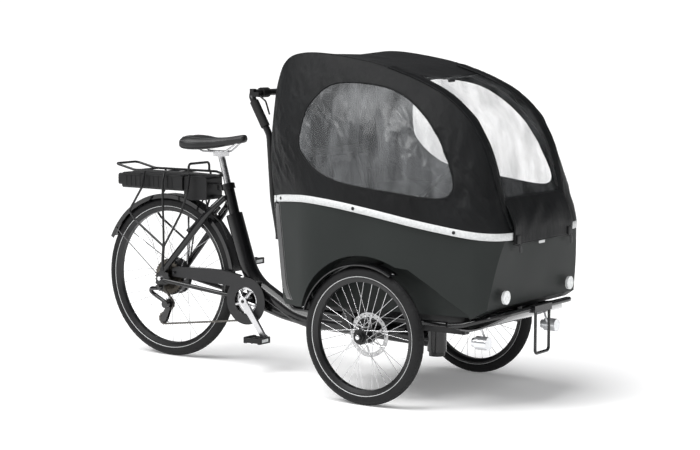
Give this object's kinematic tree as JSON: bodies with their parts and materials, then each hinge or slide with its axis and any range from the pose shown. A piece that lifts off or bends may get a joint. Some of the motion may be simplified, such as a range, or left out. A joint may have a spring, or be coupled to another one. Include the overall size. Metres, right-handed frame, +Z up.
{
  "type": "cargo bicycle",
  "caption": "Electric cargo tricycle: fabric-hooded moulded box that steers over a pair of small front wheels, chain-driven rear wheel with hub motor, carrier battery and push-bar steering.",
  "frame": {"origin": "middle of the footprint's box on the ground, all wheels touching it", "axes": "+X forward, +Y to the rider's left, +Z up"},
  "size_m": [2.038, 0.86, 1.243],
  "materials": {
    "black_plastic": "moulded, fine grain",
    "black_tube": "satin black",
    "brown_steel": "bronze-tinted steel",
    "cabin_plastic": "dark grey-green rotational moulding, fine grain",
    "chain_steel": "oiled steel",
    "chrome": "chrome",
    "clear_vinyl": "clear flexible vinyl",
    "cushion_fabric": "dark grey woven upholstery",
    "gloss_black_frame": "gloss black powder coat",
    "gloss_plastic": "gloss black",
    "grey_plastic": "dark grey, satin",
    "hood_fabric": "black coated canvas",
    "lamp": "clear lens over a bright reflector",
    "rotor_steel": "brushed stainless steel",
    "rubber": "black rubber",
    "saddle_cover": "black synthetic leather with grey stitching",
    "silver": "polished aluminium",
    "tyre_rubber": "black rubber with a reflective ring",
    "white_reflector": "prismatic white"
  },
  "bodies": {
    "frame": {"main_frame": "gloss_black_frame", "seat_stays": "gloss_black_frame", "chain_stays": "gloss_black_frame", "rear_mudguard": "gloss_plastic", "rear_rack": "black_tube", "controller_box": "black_plastic", "chain_case": "grey_plastic", "chain": "chain_steel", "derailleur": "gloss_plastic", "rear_axle": "chrome", "seat_clamp": "gloss_black_frame", "frame_cables": "rubber"},
    "seat": {"seatpost": "silver", "saddle": "saddle_cover"},
    "clamp_lever": {"seat_clamp_lever": "black_tube"},
    "battery": {"battery": "black_plastic"},
    "crankset": {"chainring": "silver", "crank_right": "silver", "crank_left": "silver"},
    "pedal_right": {"pedal_right": "black_plastic"},
    "pedal_left": {"pedal_left": "black_plastic"},
    "cassette": {"cassette": "brown_steel"},
    "rear_wheel": {"rear_hub_motor": "black_tube", "rear_tyre": "tyre_rubber", "rear_rim": "black_tube", "rear_spokes": "chrome"},
    "jockey_upper": {"jockey_upper": "black_plastic"},
    "jockey_lower": {"jockey_lower": "black_plastic"},
    "brake_arm_right": {"brake_arm_right": "black_tube"},
    "brake_arm_left": {"brake_arm_left": "black_tube"},
    "front": {"cabin_shell": "cabin_plastic", "cabin_edge_tube": "gloss_black_frame", "bench_seat": "black_plastic", "seat_cushions": "cushion_fabric", "chassis": "black_tube", "bumper_rail": "gloss_black_frame", "chin_tray": "grey_plastic", "headlamps": "lamp", "reflectors": "white_reflector", "front_mudguards": "gloss_plastic", "handlebar": "black_tube", "grips": "rubber", "lever_perches": "black_plastic", "brake_calipers": "black_tube"},
    "brake_lever_right": {"brake_lever_right": "black_tube"},
    "brake_lever_left": {"brake_lever_left": "black_tube"},
    "shifter": {"shifter": "rubber"},
    "hood": {"hood_cover": "hood_fabric", "hood_windows": "clear_vinyl", "hood_hoops": "black_tube"},
    "front_wheel_right": {"front_tyre_right": "tyre_rubber", "front_rim_right": "black_tube", "front_spokes_right": "chrome", "front_hub_right": "black_tube", "front_rotor_right": "rotor_steel"},
    "front_wheel_left": {"front_tyre_left": "tyre_rubber", "front_rim_left": "black_tube", "front_spokes_left": "chrome", "front_hub_left": "black_tube", "front_rotor_left": "rotor_steel"}
  },
  "joints": [
    {"name": "steering", "type": "hinge", "parent": "frame", "child": "front", "pos_m": [0.5735, 0, 0.19], "axis": [0, 0, 1], "range_deg": [-35, 35]},
    {"name": "seat_height", "type": "slide", "parent": "frame", "child": "seat", "axis": [-0.2758, 0, 0.9612], "range_m": [-0.04, 0.09]},
    {"name": "clamp_lever", "type": "hinge", "parent": "frame", "child": "clamp_lever", "pos_m": [-0.4445, 0, 0.7], "axis": [0, 0, 1], "range_deg": [0, 50]},
    {"name": "battery_slide", "type": "slide", "parent": "frame", "child": "battery", "axis": [-1, 0, 0], "range_m": [0, 0.36]},
    {"name": "crank_spin", "type": "hinge", "parent": "frame", "child": "crankset", "pos_m": [-0.2765, 0, 0.265], "axis": [0, 1, 0], "continuous": true},
    {"name": "pedal_right_spin", "type": "hinge", "parent": "crankset", "child": "pedal_right", "pos_m": [-0.17419, -0.12, 0.12923], "axis": [0, 1, 0], "continuous": true},
    {"name": "pedal_left_spin", "type": "hinge", "parent": "crankset", "child": "pedal_left", "pos_m": [-0.37881, 0.12, 0.40077], "axis": [0, 1, 0], "continuous": true},
    {"name": "cassette_spin", "type": "hinge", "parent": "frame", "child": "cassette", "pos_m": [-0.6965, 0, 0.3235], "axis": [0, 1, 0], "continuous": true},
    {"name": "rear_wheel_spin", "type": "hinge", "parent": "frame", "child": "rear_wheel", "pos_m": [-0.6965, 0, 0.3235], "axis": [0, 1, 0], "continuous": true},
    {"name": "jockey_upper_spin", "type": "hinge", "parent": "frame", "child": "jockey_upper", "pos_m": [-0.6755, -0.0435, 0.219], "axis": [0, 1, 0], "continuous": true},
    {"name": "jockey_lower_spin", "type": "hinge", "parent": "frame", "child": "jockey_lower", "pos_m": [-0.7035, -0.0435, 0.156], "axis": [0, 1, 0], "continuous": true},
    {"name": "front_wheel_right_spin", "type": "hinge", "parent": "front", "child": "front_wheel_right", "pos_m": [0.5091, -0.3876, 0.2478], "axis": [0, 1, 0], "continuous": true},
    {"name": "front_wheel_left_spin", "type": "hinge", "parent": "front", "child": "front_wheel_left", "pos_m": [0.5091, 0.3876, 0.2478], "axis": [0, 1, 0], "continuous": true},
    {"name": "brake_lever_right_pull", "type": "hinge", "parent": "front", "child": "brake_lever_right", "pos_m": [-0.0565, -0.255, 1.082], "axis": [0, 1, 0], "range_deg": [0, 11], "stiffness_Nm_per_rad": 1.2, "springref_deg": -11.46},
    {"name": "brake_lever_left_pull", "type": "hinge", "parent": "front", "child": "brake_lever_left", "pos_m": [-0.0565, 0.255, 1.082], "axis": [0, 1, 0], "range_deg": [0, 11], "stiffness_Nm_per_rad": 1.2, "springref_deg": -11.46},
    {"name": "brake_arm_right_swing", "type": "hinge", "parent": "frame", "child": "brake_arm_right", "pos_m": [-0.5425, -0.0602, 0.5138], "axis": [-0.766, 0, 0.6428], "range_deg": [0, 0.44]},
    {"name": "brake_arm_left_swing", "type": "hinge", "parent": "frame", "child": "brake_arm_left", "pos_m": [-0.5425, 0.0602, 0.5138], "axis": [-0.766, 0, 0.6428], "range_deg": [-0.44, 0]},
    {"name": "shifter_twist", "type": "hinge", "parent": "front", "child": "shifter", "pos_m": [-0.0965, -0.17, 1.09], "axis": [0, 1, 0], "range_deg": [-60, 60]},
    {"name": "hood_lift_off", "type": "slide", "parent": "front", "child": "hood", "axis": [0, 0, 1], "range_m": [0, 0.5]}
  ],
  "couplings": [
    {"joint": "cassette_spin", "follows": "crank_spin", "ratio": 2.1111},
    {"joint": "jockey_upper_spin", "follows": "crank_spin", "ratio": -3.4545},
    {"joint": "jockey_lower_spin", "follows": "crank_spin", "ratio": 3.4545},
    {"joint": "brake_arm_right_swing", "follows": "brake_lever_right_pull", "ratio": 0.04},
    {"joint": "brake_arm_left_swing", "follows": "brake_lever_right_pull", "ratio": -0.04}
  ]
}
